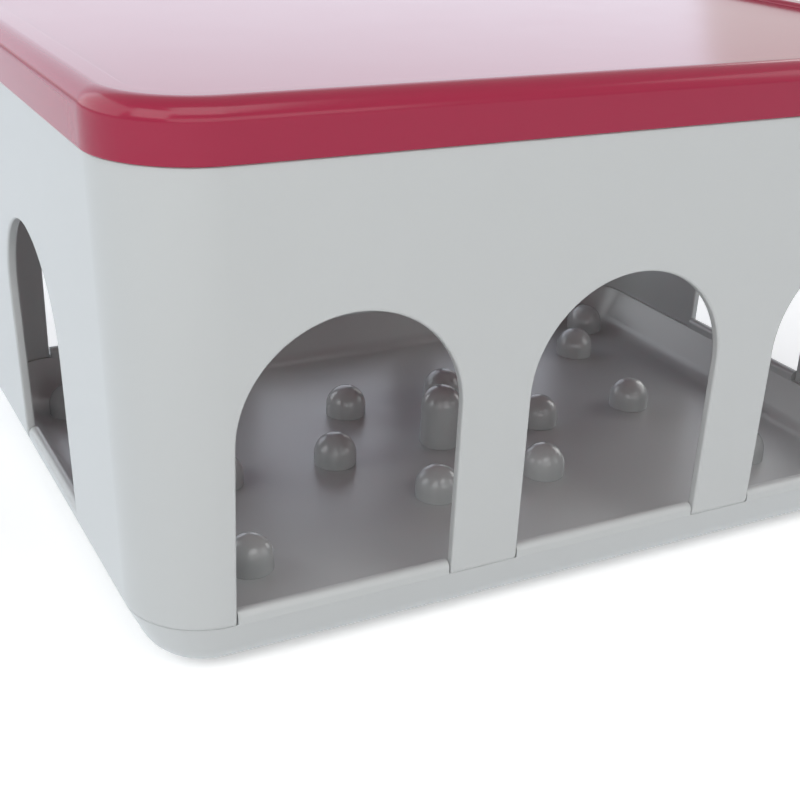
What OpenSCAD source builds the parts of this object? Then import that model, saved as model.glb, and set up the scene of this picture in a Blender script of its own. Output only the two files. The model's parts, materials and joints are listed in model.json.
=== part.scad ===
// Cat puzzle box: a shallow tray with domed pegs, an arcade wall standing over it and a lift-off lid.
// Origin at the centre of the footprint, on the surface the box stands on. Millimetres, +Z up.

/* [Box] */
// Length of the arcade wall's outline just above its feet
box_l = 265; // [240:1:320]
// Depth of the arcade wall's outline just above its feet
box_d = 194; // [180:1:240]
// Plan radius of the wall's corners just above its feet
corner_r = 21; // [18:0.5:22]
// Outward lean of the walls, in mm for each mm of height
flare = 0.03; // [0:0.005:0.05]

/* [Tray] */
// Height of the tray from its underside to the top of its sills
tray_h = 19.4; // [18:0.1:24]
// Thickness of the tray's floor
tray_t = 2.6; // [2:0.1:4]
// Step from the pillars' outer face in to the tray's
tray_inset = 0.4; // [0.2:0.1:1]
// Radius of the tray's lower outer edge
tray_edge_r = 12.5; // [10:0.5:13]
// How far the tray's outer wall draws in from its rim to its lower edge
tray_taper = 2.6; // [1:0.1:4]
// Width of the rim and of its round-topped sills under the arches
rim_w = 3.7; // [3.3:0.1:4.4]
// Height of the tray's upright band below the pillars' feet
tray_band = 0.4; // [0.3:0.1:1]
// Radius of the cove between the floor and the tray's inner wall
cove_r = 7; // [5:0.5:7.5]
// How far the tray's inner wall draws in from its rim to its cove
cove_taper = 4.3; // [3:0.1:5]

/* [Arcade wall] */
// Thickness of the wall
wall_t = 2.8; // [2.4:0.1:4]
// Height of the wall from its feet to the lid's seat
wall_h = 115.7; // [105:0.1:150]
// How far the pillars' feet stand below the top of the sills beside them
foot_overlap = 3.5; // [2.5:0.1:5]
// Radius of the outer edge of the pillars' feet
foot_round = 0.6; // [0.3:0.1:1.2]
// Clear width of each arch
arch_w = 60; // [40:1:64]
// Height of the arches' straight sides above the sills
arch_side_h = 45; // [25:0.1:50]
// Distance between the centres of neighbouring arches in the long walls
arch_pitch = 80.2; // [68:0.1:82]
// Number of arches in each long wall
arch_count = 3; // [1:2:3]

/* [Lid] */
// Height of the lid above its seat on the wall
lid_h = 14; // [11:0.5:24]
// Thickness of the lid's skirt and top panel
lid_t = 2.4; // [2:0.1:3]
// How far the skirt stands out over the wall
lid_overhang = 0.6; // [0:0.1:1.5]
// Radius of the lid's upper outer edge
lid_edge_r = 5; // [3.5:0.5:7]
// Width of the raised border round the lid's top
lid_border_w = 10; // [8:0.5:13]
// Depth of the lid's top panel below its border
lid_recess = 1.6; // [0.6:0.1:3]
// How far the locating lip reaches down inside the wall
lip_h = 7; // [4:0.5:14]
// Thickness of the locating lip
lip_t = 2; // [1.6:0.1:3]

/* [Pegs] */
// Diameter of the pegs
peg_d = 14; // [10:0.5:15]
// Height of the short pegs above the floor
peg_h = 10.5; // [8:0.5:18]
// Height of the tall peg in the middle
tall_peg_h = 20.8; // [12:0.1:30]
// Spacing of the pegs round the middle one and beyond it along the length
peg_pitch = 39.6; // [32:0.1:40]
// Distance of the inner corner pegs from the corner centres, along the length
inner_peg_in_x = 22; // [18:0.5:28]
// Distance of the inner corner pegs from the corner centres, along the depth
inner_peg_in_y = 24.8; // [20:0.1:30]
// Distance of the outer corner pegs from the corner centres, along the length
outer_peg_in_x = 2.5; // [2:0.5:8]
// Distance of the outer corner pegs from the corner centres, along the depth
outer_peg_in_y = 3; // [2.5:0.5:8]
// Diameter of the spigot under each peg
spigot_d = 8; // [5:0.5:9]

/* [Feet] */
// Diameter of the rubber feet
foot_d = 14; // [10:0.5:16]
// How far the feet stand out below the tray
foot_h = 1.3; // [1:0.1:4]
// How deep the feet sit in the tray's underside
foot_sink = 1; // [0.6:0.1:1.4]
// Chamfer round the bottom of the feet
foot_chamfer = 0.4; // [0.2:0.1:0.8]
// Distance of the feet from the corner centres, along the length
foot_in_x = 28; // [22:0.5:32]
// Distance of the feet from the corner centres, along the depth
foot_in_y = 4; // [3:0.5:6]

/* [Clearances] */
// Gap between the sills and the pillars' feet beside them
sill_gap = 0.4; // [0.3:0.05:0.8]
// Gap between the lid's locating lip and the wall round it
lip_gap = 0.5; // [0.3:0.05:1]
// Radial gap round each spigot in its hole
spigot_gap = 0.1; // [0.05:0.05:0.2]
// Radial gap round each rubber foot in its recess
foot_gap = 0.2; // [0.1:0.05:0.4]

/* [Hidden] */
// Circles
$fn = 96;
// Overshoot of cuts past the faces they open
cut = 1;

// Corner centres of the plan, from which every outline is measured outwards
centre_x = box_l / 2 - corner_r;
centre_y = box_d / 2 - corner_r;

// Levels
tray_z = foot_h;
floor_z = tray_z + tray_t;
rim_z = tray_z + tray_h;
wall_z = rim_z - foot_overlap;
seat_z = wall_z + wall_h;
lid_z = seat_z + lid_h;
arch_spring_z = rim_z + arch_side_h;
panel_z = lid_z - lid_recess;

// Outward reach of the wall's outer face at height z
function wall_reach(z) = corner_r + flare * (z - wall_z - foot_round);

// Tray section: rim edges, lower end of the upright band, centres of the rounded lower edge and of the cove
rim_out = corner_r - tray_inset;
rim_in = rim_out - rim_w;
shoulder_z = wall_z - tray_band;
edge_c = [rim_out - tray_taper - tray_edge_r, tray_z + tray_edge_r];
cove_c = [rim_in - cove_taper - cove_r, floor_z + cove_r];

// Point where a line from p touches a circle of radius r round c, on the outward side
function touch(p, c, r) =
    let (d = p - c, a = atan2(d[1], d[0]) - acos(r / norm(d)))
    c + r * [cos(a), sin(a)];

// Lid section
skirt_out = wall_reach(seat_z) + lid_overhang;
lip_out = wall_reach(seat_z - lip_h) - wall_t - lip_gap;

// Pegs round the middle one, on a triangular grid
ring_angles = [0, 60, 120, 180, 240, 300];
ring_pegs = [for (a = ring_angles) peg_pitch * [cos(a), sin(a)]];
side_pegs = [[-2 * peg_pitch, 0], [2 * peg_pitch, 0]];
quarters = [[-1, -1], [1, -1], [-1, 1], [1, 1]];

// The same place in all four quarters of the plan, measured in from the corner centres
function in_quarters(in_x, in_y) =
    [for (q = quarters) [q[0] * (centre_x - in_x), q[1] * (centre_y - in_y)]];

inner_pegs = in_quarters(inner_peg_in_x, inner_peg_in_y);
outer_pegs = in_quarters(outer_peg_in_x, outer_peg_in_y);
foot_places = in_quarters(foot_in_x, foot_in_y);
short_pegs = concat(ring_pegs, side_pegs, inner_pegs, outer_pegs);

light_grey = [0.76, 0.77, 0.765];
raspberry = [0.64, 0.18, 0.27];
rubber_grey = [0.3, 0.3, 0.31];

// A straight run of a section, its outward direction along +Y
module straight_run(length, reach) {
    translate([-length / 2, reach, 0])
        rotate([90, 0, 90])
            linear_extrude(length)
                children();
}

// A section carried round the plan: four straight runs and four turned corners.
// The section's x is its reach outward from the corner centres, and its y is the height.
module ring() {
    for (turn = [0, 180]) {
        rotate([0, 0, turn])
            straight_run(2 * centre_x, centre_y)
                children();
        rotate([0, 0, turn - 90])
            straight_run(2 * centre_y, centre_x)
                children();
    }
    for (i = [0:3]) {
        sx = i == 0 || i == 3 ? 1 : -1;
        sy = i < 2 ? 1 : -1;
        translate([sx * centre_x, sy * centre_y, 0])
            rotate([0, 0, 90 * i])
                rotate_extrude(angle = 90)
                    children();
    }
}

// The plate between the corner centres, from height low to height high
module middle_plate(low, high) {
    translate([-centre_x, -centre_y, low])
        cube([2 * centre_x, 2 * centre_y, high - low]);
}

// Section of the tray's wall and the floor beside it
module tray_section() {
    outer_touch = touch([rim_out, shoulder_z], edge_c, tray_edge_r);
    inner_touch = touch([rim_in, shoulder_z], cove_c, cove_r);
    difference() {
        union() {
            polygon([
                [0, tray_z], [edge_c[0], tray_z], edge_c, outer_touch,
                [rim_out, shoulder_z], [0, shoulder_z]
            ]);
            // Rounded lower edge
            intersection() {
                translate(edge_c)
                    circle(tray_edge_r);
                polygon([edge_c, [edge_c[0], tray_z], [rim_out, tray_z], outer_touch]);
            }
        }
        polygon([
            [-cut, floor_z], [cove_c[0], floor_z], cove_c, inner_touch,
            [rim_in, shoulder_z], [rim_in, rim_z], [-cut, rim_z]
        ]);
        // Coved corner between floor and wall
        intersection() {
            translate(cove_c)
                circle(cove_r);
            polygon([cove_c, [cove_c[0], tray_z], [rim_out, tray_z], inner_touch]);
        }
    }
    // Upright rim with a round top
    translate([rim_in, shoulder_z])
        square([rim_w, rim_z - rim_w / 2 - shoulder_z]);
    translate([rim_in + rim_w / 2, rim_z - rim_w / 2])
        circle(d = rim_w);
}

// Blocks across the box where the rim stays whole, as sills, under the arches
module sill_blocks() {
    sill_w = arch_w - 2 * sill_gap;
    for (i = [0:arch_count - 1])
        translate([(i - (arch_count - 1) / 2) * arch_pitch - sill_w / 2, -box_d, wall_z - cut])
            cube([sill_w, 2 * box_d, foot_overlap + 3 * cut]);
    translate([-box_l, -sill_w / 2, wall_z - cut])
        cube([2 * box_l, sill_w, foot_overlap + 3 * cut]);
}

// Gaps between the sills, with the ledge on which the pillars' feet stand
module foot_notches() {
    difference() {
        ring()
            translate([rim_in - cut, wall_z])
                square([rim_w + 2 * cut, foot_overlap + cut]);
        sill_blocks();
    }
}

// Shallow tray with sills between the pillars, a hole for every peg and a recess for every rubber foot
module base_tray() {
    color(light_grey)
        difference() {
            union() {
                ring()
                    tray_section();
                middle_plate(tray_z, floor_z);
            }
            foot_notches();
            for (p = concat([[0, 0]], short_pegs))
                translate([p[0], p[1], tray_z - cut])
                    cylinder(d = spigot_d + 2 * spigot_gap, h = tray_t + 2 * cut);
            for (p = foot_places)
                translate([p[0], p[1], tray_z - cut])
                    cylinder(d = foot_d + 2 * foot_gap, h = foot_sink + cut);
        }
}

// Section of the arcade wall, its foot rounded on the outside
module wall_section() {
    foot_top = wall_z + foot_round;
    polygon([
        [corner_r - wall_t, wall_z], [corner_r - foot_round, wall_z],
        [corner_r - foot_round, foot_top], [corner_r, foot_top],
        [wall_reach(seat_z), seat_z], [wall_reach(seat_z) - wall_t, seat_z],
        [wall_reach(foot_top) - wall_t, foot_top]
    ]);
    intersection() {
        translate([corner_r - foot_round, foot_top])
            circle(foot_round);
        translate([corner_r - foot_round, wall_z])
            square(foot_round);
    }
}

// Outline of one arch, standing on the wall's feet
module arch_outline() {
    translate([-arch_w / 2, wall_z - cut])
        square([arch_w, arch_spring_z - wall_z + cut]);
    translate([0, arch_spring_z])
        circle(d = arch_w);
}

// Arcade wall: arches in the long sides and one arch in each short side
module arcade_wall() {
    color(light_grey)
        difference() {
            ring()
                wall_section();
            for (i = [0:arch_count - 1])
                translate([(i - (arch_count - 1) / 2) * arch_pitch, 0, 0])
                    rotate([90, 0, 0])
                        linear_extrude(2 * box_d, center = true)
                            arch_outline();
            rotate([90, 0, 90])
                linear_extrude(2 * box_l, center = true)
                    arch_outline();
        }
}

// Section of the lid: rounded skirt, raised border and locating lip
module lid_section() {
    inner_r = lid_edge_r - lid_t;
    ceiling_z = panel_z - lid_t;
    difference() {
        union() {
            translate([0, seat_z])
                square([skirt_out - lid_edge_r, lid_h]);
            translate([0, seat_z])
                square([skirt_out, lid_h - lid_edge_r]);
            translate([skirt_out - lid_edge_r, lid_z - lid_edge_r])
                circle(lid_edge_r);
        }
        // Hollow inside the skirt
        translate([-cut, seat_z - cut])
            square([skirt_out - lid_t - inner_r + cut, ceiling_z - seat_z + cut]);
        translate([-cut, seat_z - cut])
            square([skirt_out - lid_t + cut, ceiling_z - inner_r - seat_z + cut]);
        translate([skirt_out - lid_t - inner_r, ceiling_z - inner_r])
            circle(inner_r);
        // Sunk panel inside the border
        translate([-cut, panel_z])
            square([skirt_out - lid_border_w + cut, lid_recess + cut]);
    }
    translate([lip_out - lip_t, seat_z - lip_h])
        square([lip_t, ceiling_z - seat_z + lip_h + lid_t / 2]);
}

// Lift-off lid that seats on the top edge of the wall
module lid() {
    color(raspberry)
        union() {
            ring()
                lid_section();
            middle_plate(panel_z - lid_t, panel_z);
        }
}

// Domed peg with a spigot that plugs into the floor
module peg(place, height) {
    dome_z = floor_z + height - peg_d / 2;
    color(light_grey)
        translate([place[0], place[1], 0])
            rotate_extrude()
                union() {
                    translate([0, tray_z + spigot_gap])
                        square([spigot_d / 2, tray_t]);
                    translate([0, floor_z])
                        square([peg_d / 2, dome_z - floor_z]);
                    intersection() {
                        translate([0, dome_z])
                            circle(d = peg_d);
                        translate([0, dome_z])
                            square(peg_d);
                    }
                }
}

// Rubber foot, sunk in the tray's underside and chamfered at the bottom
module rubber_foot(place) {
    r = foot_d / 2;
    color(rubber_grey)
        translate([place[0], place[1], 0])
            rotate_extrude()
                polygon([
                    [0, 0], [r - foot_chamfer, 0], [r, foot_chamfer],
                    [r, tray_z + foot_sink], [0, tray_z + foot_sink]
                ]);
}

base_tray();
arcade_wall();
lid();
peg([0, 0], tall_peg_h);  // tall_peg
for (i = [0:len(ring_pegs) - 1])
    peg(ring_pegs[i], peg_h);
for (i = [0:len(side_pegs) - 1])
    peg(side_pegs[i], peg_h);
for (i = [0:len(inner_pegs) - 1])
    peg(inner_pegs[i], peg_h);
for (i = [0:len(outer_pegs) - 1])
    peg(outer_pegs[i], peg_h);
for (i = [0:len(foot_places) - 1])
    rubber_foot(foot_places[i]);
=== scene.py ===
"""Looks of the cat puzzle box: moulded shells, pegs and feet, plastics, studio light and the camera."""

import json
import math

import bmesh
import bpy
from mathutils import Matrix, Vector


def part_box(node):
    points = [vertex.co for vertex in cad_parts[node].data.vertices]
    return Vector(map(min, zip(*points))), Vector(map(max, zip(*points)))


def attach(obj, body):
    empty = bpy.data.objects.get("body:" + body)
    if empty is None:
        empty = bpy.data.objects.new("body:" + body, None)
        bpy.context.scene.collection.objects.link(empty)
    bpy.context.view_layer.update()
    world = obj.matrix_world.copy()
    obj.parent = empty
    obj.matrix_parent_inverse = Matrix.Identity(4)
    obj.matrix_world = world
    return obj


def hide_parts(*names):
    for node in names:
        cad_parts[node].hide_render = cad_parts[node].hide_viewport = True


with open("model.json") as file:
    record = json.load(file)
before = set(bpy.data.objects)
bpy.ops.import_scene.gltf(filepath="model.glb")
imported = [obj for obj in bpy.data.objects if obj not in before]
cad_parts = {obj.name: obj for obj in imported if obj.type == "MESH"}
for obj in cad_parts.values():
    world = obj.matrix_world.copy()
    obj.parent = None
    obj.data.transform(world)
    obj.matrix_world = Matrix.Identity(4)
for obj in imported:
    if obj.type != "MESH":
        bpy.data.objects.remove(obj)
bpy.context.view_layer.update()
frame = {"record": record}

# One millimetre, in the frame's metres
MM = 0.001

# Sizes of the moulded shapes that the frame's boxes don't give
CORNER_R = 21 * MM
FLARE = 0.03
WALL_T = 2.8 * MM
FOOT_ROUND = 0.6 * MM
FOOT_RISE = 1.6 * MM
ARCH_R = 30 * MM
ARCH_SIDE_H = 45 * MM
ARCH_PITCH = 80.2 * MM
ARCH_COUNT = 3
ARCH_EDGE = 0.7 * MM
WALL_TOP_EDGE = 0.5 * MM
TRAY_T = 2.6 * MM
TRAY_EDGE_R = 12.5 * MM
TRAY_TAPER = 2.6 * MM
TRAY_BAND = 0.4 * MM
RIM_W = 3.7 * MM
COVE_R = 7 * MM
COVE_TAPER = 4.3 * MM
SILL_GAP = 0.4 * MM
LID_T = 2.4 * MM
LID_EDGE_R = 5 * MM
LID_BORDER_W = 10 * MM
LID_RECESS = 1.6 * MM
LID_SMALL_EDGE = 0.45 * MM
LIP_GAP = 0.5 * MM
LIP_T = 2 * MM
SPIGOT_R = 4 * MM
SPIGOT_GAP = 0.1 * MM
PEG_EDGE = 0.2 * MM
FOOT_SINK = 1 * MM
FOOT_GAP = 0.2 * MM
FOOT_EDGE = 0.4 * MM
FOOT_DISH = 0.25 * MM
# Shares of a rubber foot's radius at which its dish is flat and ends
DISH_FLAT = 0.5
DISH_END = 0.62

# Steps round a plan corner, a lathe turn, a small rounded edge and a large one
CORNER_STEPS = 28
TURN_STEPS = 64
EDGE_STEPS = 4
ROUND_STEPS = 12
# Edges that bend more than this stay sharp in the shading
SHARP_ANGLE = math.radians(40)
NORMAL_WEIGHT = 50
# Vertices nearer to each other than this are one
MERGE_DISTANCE = 0.002 * MM

# Levels and the corner centres of the plan, from the frame
tray_low, tray_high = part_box("base_tray")
wall_low, wall_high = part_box("arcade_wall")
lid_low, lid_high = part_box("lid")
tray_z = tray_low.z
rim_z = tray_high.z
floor_z = tray_z + TRAY_T
wall_z = wall_low.z
foot_top = wall_z + FOOT_ROUND
seat_z = wall_high.z
spring_z = rim_z + ARCH_SIDE_H
wall_top_reach = CORNER_R + FLARE * (seat_z - foot_top)
centre_x = wall_high.x - wall_top_reach
centre_y = wall_high.y - wall_top_reach

# The photograph is taken to be this many pixels wide and high
IMAGE_SIZE = 800

NODES_OF = frame["record"]["behaviour"]["bodies"]


# Section and plan helpers

def arc(centre, radius, start, end, steps=EDGE_STEPS):
    """Points of an arc in a section, from one angle to another in degrees."""
    angles = [math.radians(start + (end - start) * i / steps) for i in range(steps + 1)]
    return [(centre[0] + radius * math.cos(a), centre[1] + radius * math.sin(a)) for a in angles]


def touch_angle(point, centre, radius):
    """Angle in degrees at which a line from point touches a circle, on the outward side."""
    dx, dz = point[0] - centre[0], point[1] - centre[1]
    return math.degrees(math.atan2(dz, dx) - math.acos(radius / math.hypot(dx, dz)))


def corner_station(corner, angle):
    """Base point and outward direction on a plan corner; corner 0 is at +X, +Y."""
    sx = 1 if corner in (0, 3) else -1
    sy = 1 if corner in (0, 1) else -1
    a = math.radians(angle)
    return Vector((sx * centre_x, sy * centre_y)), Vector((math.cos(a), math.sin(a)))


def corner_stations(corner):
    """Stations round one plan corner, both ends included."""
    return [corner_station(corner, 90 * corner + 90 * k / CORNER_STEPS) for k in range(CORNER_STEPS + 1)]


def side_station(side, s):
    """Station at distance s along a side, anticlockwise; sides 0 to 3 are front, right, back and left."""
    turn = Matrix.Rotation(math.radians(90 * side), 2)
    half = centre_y if side % 2 == 0 else centre_x
    return turn @ Vector((s, -half)), turn @ Vector((0, -1))


def side_panels(side):
    """Middle, left and right end of each arch's panel along a side."""
    half = centre_x if side % 2 == 0 else centre_y
    count = ARCH_COUNT if side % 2 == 0 else 1
    middles = [(i - (count - 1) / 2) * ARCH_PITCH for i in range(count)]
    ends = [-half] + [(a + b) / 2 for a, b in zip(middles, middles[1:])] + [half]
    return list(zip(middles, ends, ends[1:]))


def at(station, reach, z):
    """Point at that reach outward from a station's base, at height z."""
    base, outward = station
    return Vector((*(base + outward * reach), z))


def bridge(bm, lines, closed=False):
    """Quads between successive lines of vertices."""
    for a, b in zip(lines, lines[1:]):
        count = len(a) if closed else len(a) - 1
        for i in range(count):
            j = (i + 1) % len(a)
            bm.faces.new((a[i], a[j], b[j], b[i]))


def sweep(bm, section):
    """Carries a section of (reach, z) points round the plan, and returns its loops of vertices."""
    stations = [s for corner in range(4) for s in corner_stations(corner)]
    loops = [[bm.verts.new(at(s, reach, z)) for s in stations] for reach, z in section]
    bridge(bm, loops, closed=True)
    return loops


def circle_loop(bm, place, radius, z):
    """A closed loop of vertices round a place in the plan."""
    x, y = place
    turns = [2 * math.pi * i / TURN_STEPS for i in range(TURN_STEPS)]
    return [bm.verts.new((x + radius * math.cos(a), y + radius * math.sin(a), z)) for a in turns]


def lathe(bm, profile):
    """Turns a profile of (radius, z) points round the vertical, with a pole at each end on the axis."""
    first = bm.verts.new((0, 0, profile[0][1]))
    last = bm.verts.new((0, 0, profile[-1][1]))
    loops = [circle_loop(bm, (0, 0), radius, z) for radius, z in profile[1:-1]]
    bridge(bm, loops, closed=True)
    for i in range(TURN_STEPS):
        j = (i + 1) % TURN_STEPS
        bm.faces.new((first, loops[0][j], loops[0][i]))
        bm.faces.new((last, loops[-1][i], loops[-1][j]))


def fill_with_holes(bm, outline, holes):
    """Fills a flat outline and leaves the holes open."""
    edges = []
    for loop in [outline, *holes]:
        for a, b in zip(loop, loop[1:] + loop[:1]):
            edges.append(bm.edges.get((a, b)) or bm.edges.new((a, b)))
    bmesh.ops.triangle_fill(bm, use_beauty=True, use_dissolve=False, edges=edges)


def mesh_from(name, bm):
    """Closes up a built mesh and shades it smooth, apart from its sharp edges."""
    bmesh.ops.remove_doubles(bm, verts=bm.verts, dist=MERGE_DISTANCE)
    bmesh.ops.recalc_face_normals(bm, faces=bm.faces)
    for face in bm.faces:
        face.smooth = True
    for edge in bm.edges:
        edge.smooth = edge.calc_face_angle(0) < SHARP_ANGLE
    mesh = bpy.data.meshes.new(name)
    bm.to_mesh(mesh)
    bm.free()
    return mesh


def add_piece(name, mesh, material, body, nodes, place=(0, 0, 0)):
    """Puts a mesh in the scene in the place of CAD nodes, which it hides, on their body and with the given
    material.
    """
    piece = bpy.data.objects.new(name, mesh)
    piece.location = place
    bpy.context.scene.collection.objects.link(piece)
    if not mesh.materials:
        mesh.materials.append(material)
    normals = piece.modifiers.new("face_weighted_normals", "WEIGHTED_NORMAL")
    normals.mode = "FACE_AREA"
    normals.weight = NORMAL_WEIGHT
    normals.keep_sharp = True
    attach(piece, body)
    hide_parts(*nodes)


# Materials

# Scale and detail of the noise that drives the colour drift, the gloss and the mould grain
DRIFT_NOISE = (30, 4)
GLOSS_NOISE = (40, 2)
GRAIN_NOISE = (2600, 3)
GLOSS_CHANGE = 0.015
GRAIN_DEPTH = 0.05 * MM


def plastic(name, colour, roughness, grain=0.03, ior=1.5, tint_change=0.006):
    """Moulded satin plastic: faint colour drift, fine mould grain and uneven gloss."""
    material = bpy.data.materials.new(name)
    material.use_nodes = True
    nodes, links = material.node_tree.nodes, material.node_tree.links
    shader = nodes["Principled BSDF"]
    shader.inputs["IOR"].default_value = ior
    place = nodes.new("ShaderNodeTexCoord").outputs["Object"]

    def noise(scale, detail):
        node = nodes.new("ShaderNodeTexNoise")
        node.inputs["Scale"].default_value = scale
        node.inputs["Detail"].default_value = detail
        links.new(place, node.inputs["Vector"])
        return node.outputs["Fac"]

    drift = nodes.new("ShaderNodeMix")
    drift.data_type = "RGBA"
    drift.inputs["A"].default_value = (*[c * (1 - tint_change) for c in colour], 1)
    drift.inputs["B"].default_value = (*[c * (1 + tint_change) for c in colour], 1)
    links.new(noise(*DRIFT_NOISE), drift.inputs["Factor"])
    links.new(drift.outputs["Result"], shader.inputs["Base Color"])

    gloss = nodes.new("ShaderNodeMapRange")
    gloss.inputs["To Min"].default_value = roughness - GLOSS_CHANGE
    gloss.inputs["To Max"].default_value = roughness + GLOSS_CHANGE
    links.new(noise(*GLOSS_NOISE), gloss.inputs["Value"])
    links.new(gloss.outputs["Result"], shader.inputs["Roughness"])

    bump = nodes.new("ShaderNodeBump")
    bump.inputs["Strength"].default_value = grain
    bump.inputs["Distance"].default_value = GRAIN_DEPTH
    links.new(noise(*GRAIN_NOISE), bump.inputs["Height"])
    links.new(bump.outputs["Normal"], shader.inputs["Normal"])
    return material


def rubber(name, colour):
    """Matte rubber with a fine bloom."""
    return plastic(name, colour, roughness=0.7, grain=0.25, tint_change=0.15)


grey_plastic = plastic("light_grey_plastic", (0.512, 0.528, 0.528), roughness=0.32)
# The pegs' grey is a shade lighter than the tray's although it is the same plastic: a little painted light
# for the pegs' lit sides
peg_plastic = plastic("peg_grey_plastic", (0.52, 0.536, 0.536), roughness=0.2)
lid_plastic = plastic("raspberry_plastic", (0.315, 0.008, 0.042), roughness=0.16, ior=1.4)
foot_rubber = rubber("foot_rubber_grey", (0.07, 0.07, 0.075))


# Base tray

rim_out = tray_high.x - centre_x
rim_in = rim_out - RIM_W
# Lower end of the upright band under the ledge on which the pillars stand
shoulder_z = wall_z - TRAY_BAND
edge_centre = (rim_out - TRAY_TAPER - TRAY_EDGE_R, tray_z + TRAY_EDGE_R)
edge_angle = touch_angle((rim_out, shoulder_z), edge_centre, TRAY_EDGE_R)


def tray_section():
    """From the flat floor up inside, over the ledge, down outside and under to the flat underside."""
    cove_centre = (rim_in - COVE_TAPER - COVE_R, floor_z + COVE_R)
    cove_angle = touch_angle((rim_in, shoulder_z), cove_centre, COVE_R)
    return (
        arc(cove_centre, COVE_R, -90, cove_angle, ROUND_STEPS)
        + [(rim_in, shoulder_z), (rim_in, wall_z), (rim_out, wall_z), (rim_out, shoulder_z)]
        + arc(edge_centre, TRAY_EDGE_R, edge_angle, -90, ROUND_STEPS)
    )


def add_sill(bm, side, middle):
    """Round-topped sill on the ledge under one arch, between the pillars' feet."""
    rim_r = RIM_W / 2
    top = arc((rim_in + rim_r, rim_z - rim_r), rim_r, 180, 0, 2 * ROUND_STEPS)
    section = [(rim_in, wall_z)] + top + [(rim_out, wall_z)]
    half = ARCH_R - SILL_GAP
    ends = [side_station(side, middle + s) for s in (-half, half)]
    loops = [[bm.verts.new(at(end, reach, z)) for reach, z in section] for end in ends]
    bridge(bm, loops, closed=True)
    for loop in loops:
        bm.faces.new(loop)


def plan_place(node):
    """Middle of a node in the plan."""
    low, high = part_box(node)
    return (low.x + high.x) / 2, (low.y + high.y) / 2


peg_nodes = [n for n in NODES_OF["tray"] if "peg" in n]
foot_nodes = [n for n in NODES_OF["tray"] if "foot" in n]
foot_r = (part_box(foot_nodes[0])[1].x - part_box(foot_nodes[0])[0].x) / 2


def build_tray():
    bm = bmesh.new()
    loops = sweep(bm, tray_section())
    for side in range(4):
        for middle, _, _ in side_panels(side):
            add_sill(bm, side, middle)
    hole_r = SPIGOT_R + SPIGOT_GAP
    recess_r = foot_r + FOOT_GAP
    tops, bottoms = [], []
    for node in peg_nodes:
        ends = [circle_loop(bm, plan_place(node), hole_r, z) for z in (floor_z, tray_z)]
        bridge(bm, ends, closed=True)
        tops.append(ends[0])
        bottoms.append(ends[1])
    for node in foot_nodes:
        ends = [circle_loop(bm, plan_place(node), recess_r, z) for z in (tray_z + FOOT_SINK, tray_z)]
        bridge(bm, ends, closed=True)
        bm.faces.new(ends[0])
        bottoms.append(ends[1])
    fill_with_holes(bm, loops[0], tops)
    fill_with_holes(bm, loops[-1], bottoms)
    return mesh_from("base_tray_mesh", bm)


add_piece("moulded_tray", build_tray(), grey_plastic, "tray", ["base_tray"])


# Arcade wall

# Height of the plain band under the lid, and the level where it begins
PLAIN_BAND_H = 12 * MM
PANEL_TOP_Z = seat_z - PLAIN_BAND_H
# Share of the arch, in degrees from each spring, whose mesh lines run to the panel's sides
SIDE_ANGLE = 52
SIDE_STEPS = 16
CROWN_STEPS = 24
FOOT_STEPS = 8
# Largest share of the wall's thickness that the round of an arch's edge takes up
EDGE_SHARE = 0.4


def outer_reach(z):
    """Reach of the wall's outer face, softly rolled in at the foot."""
    below = max(1 - (z - wall_z) / FOOT_RISE, 0)
    lean = FLARE * max(z - foot_top, 0)
    return CORNER_R + lean - FOOT_ROUND * (1 - math.sqrt(max(1 - below ** 2, 0)))


def inner_reach(z):
    """Reach of the wall's inner face."""
    return CORNER_R + FLARE * max(z - foot_top, 0) - WALL_T


foot_turns = [math.radians(90 * k / FOOT_STEPS) for k in range(FOOT_STEPS + 1)]
jamb_levels = [wall_z + FOOT_RISE * (1 - math.cos(turn)) for turn in foot_turns] + [spring_z]
side_levels = [spring_z + (PANEL_TOP_Z - spring_z) * k / SIDE_STEPS for k in range(1, SIDE_STEPS + 1)]


def arch_border(left, right):
    """Border points of an arch as (point, way into the wall, panel point), from foot to foot."""
    def on_arch(angle, panel_point):
        way = Vector((math.cos(math.radians(angle)), math.sin(math.radians(angle))))
        return Vector((0, spring_z)) + ARCH_R * way, way, Vector(panel_point)

    rise = [(Vector((-ARCH_R, z)), Vector((-1, 0)), Vector((left, z))) for z in jamb_levels]
    fall = [(Vector((ARCH_R, z)), Vector((1, 0)), Vector((right, z))) for z in reversed(jamb_levels)]
    flanks = [(SIDE_ANGLE * k / SIDE_STEPS, side_levels[k - 1]) for k in range(1, SIDE_STEPS + 1)]
    up = [on_arch(180 - angle, (left, z)) for angle, z in flanks]
    down = [on_arch(angle, (right, z)) for angle, z in reversed(flanks)]
    crown = []
    for k in range(1, CROWN_STEPS):
        share = k / CROWN_STEPS
        angle = 180 - SIDE_ANGLE - (180 - 2 * SIDE_ANGLE) * share
        crown.append(on_arch(angle, (left + (right - left) * share, PANEL_TOP_Z)))
    return rise + up + crown + down + fall


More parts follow.
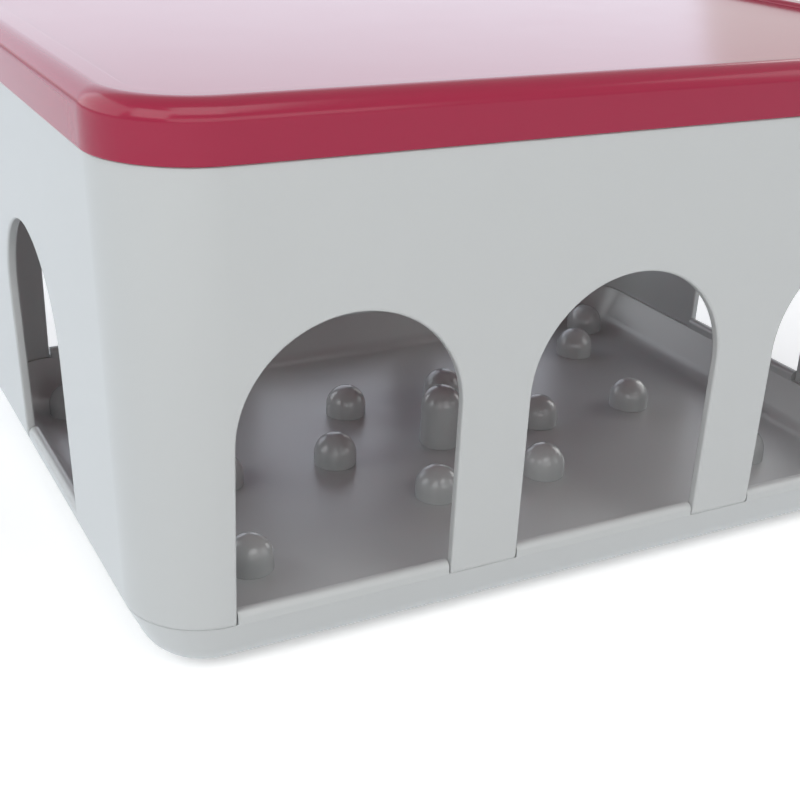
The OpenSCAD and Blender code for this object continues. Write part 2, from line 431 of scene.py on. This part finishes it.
def arch_panel(bm, side, middle, left, right):
    """The wall round one arch: both faces, the jambs between them and their rounded edges."""
    rows = []
    for point, way, panel_point in arch_border(left - middle, right - middle):
        edge = min(ARCH_EDGE, EDGE_SHARE * (outer_reach(point.y) - inner_reach(point.y)))
        turns = [math.radians(90 * k / EDGE_STEPS) for k in range(EDGE_STEPS + 1)]
        row = [at(side_station(side, middle + panel_point.x), outer_reach(panel_point.y), panel_point.y)]
        for face, sign, order in ((outer_reach, -1, turns), (inner_reach, 1, turns[::-1])):
            for turn in order:
                spot = point + way * edge * (1 - math.sin(turn))
                reach = face(spot.y) + sign * edge * (1 - math.cos(turn))
                row.append(at(side_station(side, middle + spot.x), reach, spot.y))
        row.append(at(side_station(side, middle + panel_point.x), inner_reach(panel_point.y), panel_point.y))
        rows.append([bm.verts.new(p) for p in row])
    bridge(bm, rows)
    bm.faces.new(rows[0])
    bm.faces.new(rows[-1])


def build_wall():
    bm = bmesh.new()
    top_stations = []
    for side in range(4):
        for middle, left, right in side_panels(side):
            arch_panel(bm, side, middle, left, right)
            steps = [left + (right - left) * k / CROWN_STEPS for k in range(CROWN_STEPS)]
            top_stations += [side_station(side, s) for s in steps]
        corner = (side + 3) % 4
        stations = corner_stations(corner)
        top_stations += stations[:-1]
        levels = jamb_levels + side_levels
        faces = (outer_reach, inner_reach)
        for face in faces:
            bridge(bm, [[bm.verts.new(at(s, face(z), z)) for s in stations] for z in levels])
        bridge(bm, [[bm.verts.new(at(s, face(wall_z), wall_z)) for s in stations] for face in faces])
    edge_z = seat_z - WALL_TOP_EDGE
    rim = (
        [(outer_reach(PANEL_TOP_Z), PANEL_TOP_Z)]
        + arc((outer_reach(seat_z) - WALL_TOP_EDGE, edge_z), WALL_TOP_EDGE, 0, 90)
        + arc((inner_reach(seat_z) + WALL_TOP_EDGE, edge_z), WALL_TOP_EDGE, 90, 180)
        + [(inner_reach(PANEL_TOP_Z), PANEL_TOP_Z)]
    )
    bridge(bm, [[bm.verts.new(at(s, reach, z)) for s in top_stations] for reach, z in rim], closed=True)
    return mesh_from("arcade_wall_mesh", bm)


add_piece("moulded_wall", build_wall(), grey_plastic, "wall", ["arcade_wall"])


# Lid

def lid_section():
    """From the sunk panel over the border, down the skirt, round the locating lip and in under the panel."""
    skirt_out = lid_high.x - centre_x
    skirt_in = skirt_out - LID_T
    panel_z = lid_high.z - LID_RECESS
    ceiling_z = panel_z - LID_T
    border_in = skirt_out - LID_BORDER_W
    lip_out = outer_reach(lid_low.z) - WALL_T - LIP_GAP
    lip_in = lip_out - LIP_T
    r = LID_SMALL_EDGE
    inner_r = LID_EDGE_R - LID_T
    hollow = (skirt_in - inner_r, ceiling_z - inner_r)
    meet = math.degrees(math.acos((lip_out - hollow[0]) / inner_r))
    return (
        arc((border_in - r, panel_z + r), r, -90, 0)
        + arc((border_in + r, lid_high.z - r), r, 180, 90)
        + arc((skirt_out - LID_EDGE_R, lid_high.z - LID_EDGE_R), LID_EDGE_R, 90, 0, ROUND_STEPS)
        + arc((skirt_out - r, seat_z + r), r, 0, -90)
        + arc((skirt_in + r, seat_z + r), r, -90, -180)
        + arc(hollow, inner_r, 0, meet, ROUND_STEPS)
        + arc((lip_out - r, lid_low.z + r), r, 0, -90)
        + arc((lip_in + r, lid_low.z + r), r, -90, -180)
        + arc((lip_in - r, ceiling_z - r), r, 0, 90)
    )


def build_lid():
    bm = bmesh.new()
    loops = sweep(bm, lid_section())
    bm.faces.new(loops[0])
    bm.faces.new(loops[-1])
    return mesh_from("lid_mesh", bm)


add_piece("moulded_lid", build_lid(), lid_plastic, "lid", ["lid"])


# Pegs

def build_peg(node):
    """A domed peg with its spigot, standing on the plan's middle."""
    low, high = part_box(node)
    radius = (high.x - low.x) / 2
    dome = (0, high.z - radius)
    bm = bmesh.new()
    lathe(bm, [(0, low.z)]
          + arc((SPIGOT_R - PEG_EDGE, low.z + PEG_EDGE), PEG_EDGE, -90, 0)
          + [(SPIGOT_R, floor_z)]
          + arc((radius - PEG_EDGE, floor_z + PEG_EDGE), PEG_EDGE, -90, 0)
          + arc(dome, radius, 0, 90, 2 * ROUND_STEPS)[:-1]
          + [(0, high.z)])
    return mesh_from(f"{node}_mesh", bm)


short_peg_mesh = build_peg("ring_peg_1")
for node in peg_nodes:
    mesh = build_peg(node) if node == "tall_peg" else short_peg_mesh
    add_piece(f"domed_{node}", mesh, peg_plastic, "tray", [node], (*plan_place(node), 0))


# Rubber feet

def build_foot():
    """A rubber foot with rounded edges and a shallow dish underneath."""
    low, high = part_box(foot_nodes[0])
    bm = bmesh.new()
    lathe(bm, [(0, low.z + FOOT_DISH), (DISH_FLAT * foot_r, low.z + FOOT_DISH), (DISH_END * foot_r, low.z)]
          + arc((foot_r - FOOT_EDGE, low.z + FOOT_EDGE), FOOT_EDGE, -90, 0)
          + [(foot_r, high.z), (0, high.z)])
    return mesh_from("rubber_foot_mesh", bm)


foot_mesh = build_foot()
for node in foot_nodes:
    add_piece(f"dished_{node}", foot_mesh, foot_rubber, "tray", [node], (*plan_place(node), 0))


# Floor and surroundings

def math_node(nodes, links, operation, *values):
    """Result of a math node on sockets and numbers."""
    node = nodes.new("ShaderNodeMath")
    node.operation = operation
    for socket, value in zip(node.inputs, values):
        if isinstance(value, (int, float)):
            socket.default_value = value
        else:
            links.new(value, socket)
    return node.outputs[0]


def seen_rays(nodes, links):
    """Two values: 1 for camera rays, and 1 for glossy and transmission rays."""
    path = nodes.new("ShaderNodeLightPath").outputs
    mirrored = math_node(nodes, links, "MAXIMUM", path["Is Glossy Ray"], path["Is Transmission Ray"])
    return path["Is Camera Ray"], mirrored


FLOOR_HALF = 4.0
FLOOR_GREY = 0.95
# Glow of the white floor for the camera and, with its tint, in reflections
FLOOR_GLOW = 0.34
MIRROR_GLOW = 0.52
MIRROR_TINT = (0.8, 0.9, 1)


def add_floor():
    mesh = bpy.data.meshes.new("floor_mesh")
    corners = [(-FLOOR_HALF, -FLOOR_HALF, 0), (FLOOR_HALF, -FLOOR_HALF, 0),
               (FLOOR_HALF, FLOOR_HALF, 0), (-FLOOR_HALF, FLOOR_HALF, 0)]
    mesh.from_pydata(corners, [], [(0, 1, 2, 3)])
    floor = bpy.data.objects.new("floor", mesh)
    bpy.context.scene.collection.objects.link(floor)
    material = bpy.data.materials.new("white_floor")
    material.use_nodes = True
    nodes, links = material.node_tree.nodes, material.node_tree.links
    nodes.remove(nodes["Principled BSDF"])
    paper = nodes.new("ShaderNodeBsdfDiffuse")
    paper.inputs["Color"].default_value = (FLOOR_GREY, FLOOR_GREY, FLOOR_GREY, 1)
    look = paper.outputs[0]
    for ray, glow, tint in zip(seen_rays(nodes, links), (FLOOR_GLOW, MIRROR_GLOW), ((1, 1, 1), MIRROR_TINT)):
        light = nodes.new("ShaderNodeEmission")
        light.inputs["Color"].default_value = (*tint, 1)
        links.new(math_node(nodes, links, "MULTIPLY", ray, glow), light.inputs["Strength"])
        both = nodes.new("ShaderNodeAddShader")
        links.new(look, both.inputs[0])
        links.new(light.outputs[0], both.inputs[1])
        look = both.outputs[0]
    links.new(look, nodes["Material Output"].inputs["Surface"])
    mesh.materials.append(material)


# Strength of the surroundings for light that isn't seen directly or in reflections
AMBIENT = 0.05


def set_world():
    world = bpy.data.worlds.new("studio")
    bpy.context.scene.world = world
    world.use_nodes = True
    nodes, links = world.node_tree.nodes, world.node_tree.links
    sky = nodes["Background"]
    sky.inputs["Color"].default_value = (1, 1, 1, 1)
    seen = math_node(nodes, links, "MAXIMUM", *seen_rays(nodes, links))
    links.new(math_node(nodes, links, "MULTIPLY_ADD", seen, 1 - AMBIENT, AMBIENT), sky.inputs["Strength"])


LAMP_AIM_Z = 60 * MM
COOL = (0.65, 0.75, 1)
PALE_BLUE = (0.92, 0.97, 1)


def add_softbox(name, azimuth, elevation, distance, size, watts, colour=(1, 1, 1)):
    """An area lamp round the object, in degrees from +X and up from the floor, facing the object's middle."""
    turn, rise = math.radians(azimuth), math.radians(elevation)
    way = Vector((math.cos(rise) * math.cos(turn), math.cos(rise) * math.sin(turn), math.sin(rise)))
    lamp = bpy.data.lights.new(name, "AREA")
    lamp.shape = "RECTANGLE"
    lamp.size, lamp.size_y = size
    lamp.energy = watts
    lamp.color = colour
    box = bpy.data.objects.new(name, lamp)
    box.location = Vector((0, 0, LAMP_AIM_Z)) + way * distance
    box.rotation_euler = (-way).to_track_quat("-Z", "Y").to_euler()
    bpy.context.scene.collection.objects.link(box)


add_floor()
set_world()
add_softbox("softbox_left", 212, 30, 1.5, (0.9, 0.9), 6.5)
add_softbox("softbox_right", 332, 22, 1.5, (0.9, 0.9), 4)
add_softbox("softbox_front", 262, 50, 1.5, (1.2, 0.9), 8.5)
add_softbox("low_fill", 262, 9, 1.6, (2, 0.45), 4.5)
add_softbox("panel_back_left", 152, 24, 1.6, (2, 1.2), 11, PALE_BLUE)
add_softbox("panel_back", 85, 24, 1.6, (2.4, 1.2), 6, COOL)
add_softbox("softbox_back_right", 17, 22, 1.5, (0.9, 0.9), 6)


# Camera at the photograph's place

CAMERA_PLACE = Vector((-0.2055, -0.3585, 0.20107))
CAMERA_YAW = math.radians(27.852)
CAMERA_PITCH = math.radians(23.799)
CAMERA_ROLL = math.radians(2.006)
FOCAL_PIXELS = 1329
SENSOR_WIDTH = 36
CLIP_START = 10 * MM


def add_camera():
    data = bpy.data.cameras.new("camera")
    data.sensor_width = SENSOR_WIDTH
    data.lens = data.sensor_width * FOCAL_PIXELS / IMAGE_SIZE
    data.clip_start = CLIP_START
    level = math.cos(CAMERA_PITCH)
    ahead = Vector((math.sin(CAMERA_YAW) * level, math.cos(CAMERA_YAW) * level, -math.sin(CAMERA_PITCH)))
    right = Vector((math.cos(CAMERA_YAW), -math.sin(CAMERA_YAW), 0))
    up = right.cross(ahead)
    rolled_right = right * math.cos(CAMERA_ROLL) + up * math.sin(CAMERA_ROLL)
    rolled_up = up * math.cos(CAMERA_ROLL) - right * math.sin(CAMERA_ROLL)
    camera = bpy.data.objects.new("camera", data)
    turn = Matrix((rolled_right, rolled_up, -ahead)).transposed()
    camera.matrix_world = Matrix.Translation(CAMERA_PLACE) @ turn.to_4x4()
    bpy.context.scene.collection.objects.link(camera)
    bpy.context.scene.camera = camera


add_camera()
bpy.context.scene.view_settings.view_transform = "Standard"
